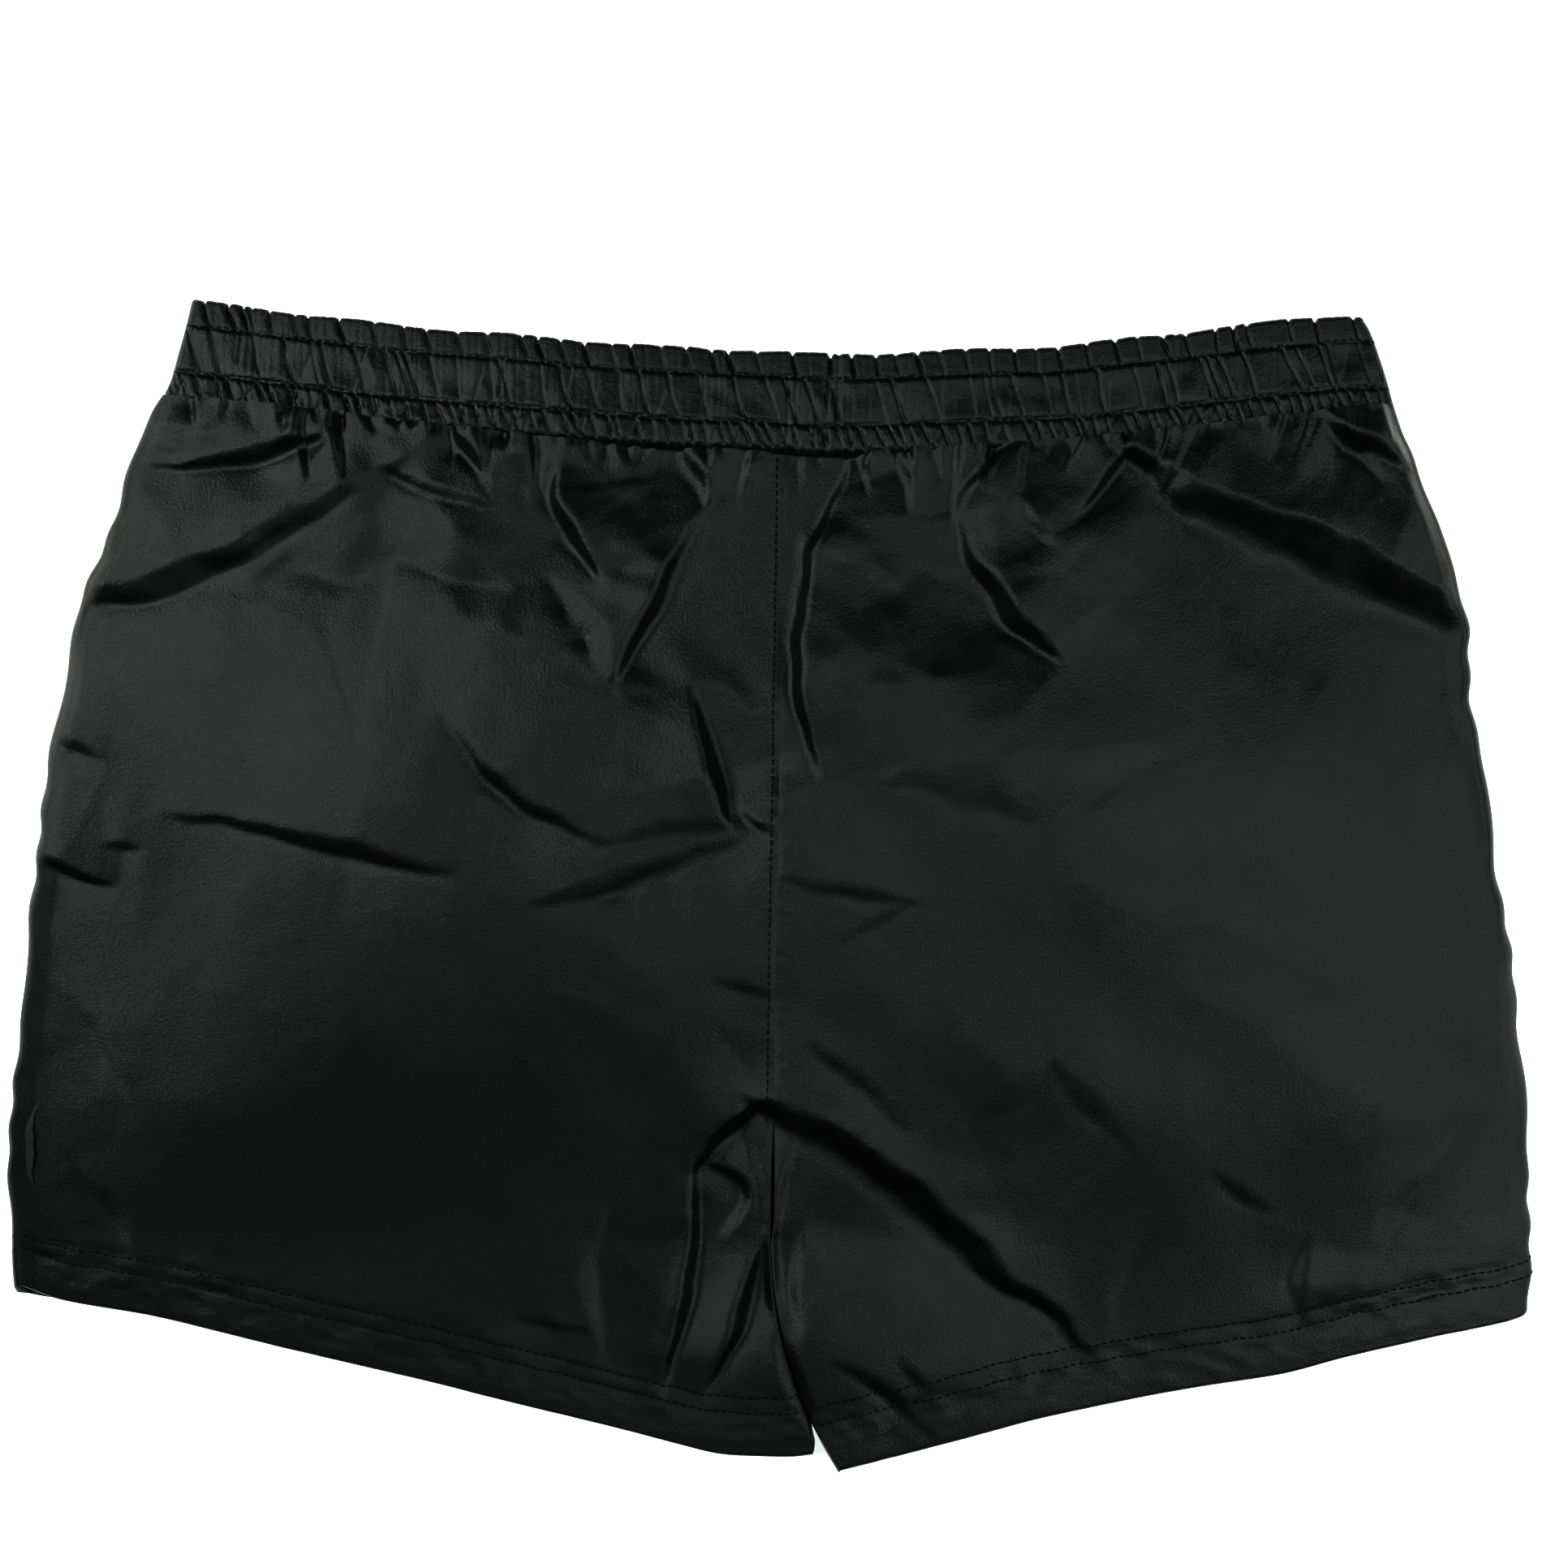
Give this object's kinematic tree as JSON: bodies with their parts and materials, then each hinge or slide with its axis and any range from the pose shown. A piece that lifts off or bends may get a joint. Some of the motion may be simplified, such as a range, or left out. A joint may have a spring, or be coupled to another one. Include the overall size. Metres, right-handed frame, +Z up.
{
  "type": "sport shorts",
  "caption": "Elasticated woven nylon sport shorts lying flat on their front, with a ruched waistband, side-seam pockets and twin-stitched leg hems.",
  "frame": {"origin": "on the ground under the middle of the outline, with the shorts lying flat on their front", "axes": "+X across the body towards the wearer's right, +Y towards the waist, +Z up out of the back of the shorts"},
  "size_m": [0.5844, 0.4417, 0.0186],
  "materials": {
    "nylon": "plain-woven black nylon with a satin sheen",
    "nylon_inside": "inside of black woven nylon, dull",
    "elastic": "knitted elastic webbing, matte black",
    "thread": "black polyester sewing thread, satin",
    "label_satin": "white woven satin label, blank",
    "eyelet_metal": "black-lacquered brass, semi-gloss"
  },
  "bodies": {
    "root": {"back_panel_left": "nylon", "leg_hem_back_left": "nylon", "front_panel_left": "nylon", "leg_hem_front_left": "nylon", "hem_stitch_upper_left": "thread", "hem_stitch_lower_left": "thread", "side_seam_allowance_left": "nylon_inside", "inseam_allowance_left": "nylon_inside", "pocket_bag_left": "nylon_inside", "drawcord_eyelet_left": "eyelet_metal", "back_panel_right": "nylon", "leg_hem_back_right": "nylon", "front_panel_right": "nylon", "leg_hem_front_right": "nylon", "hem_stitch_upper_right": "thread", "hem_stitch_lower_right": "thread", "side_seam_allowance_right": "nylon_inside", "inseam_allowance_right": "nylon_inside", "pocket_bag_right": "nylon_inside", "drawcord_eyelet_right": "eyelet_metal", "waistband_casing_back": "nylon", "waistband_casing_front": "nylon", "waist_elastic_back": "elastic", "waist_elastic_front": "elastic", "waist_stitch_row_1": "thread", "waist_stitch_row_2": "thread", "waist_stitch_row_3": "thread", "centre_back_seam_allowance": "nylon_inside", "centre_front_seam_allowance": "nylon_inside", "centre_back_topstitch": "thread", "care_label": "label_satin"}
  },
  "joints": []
}
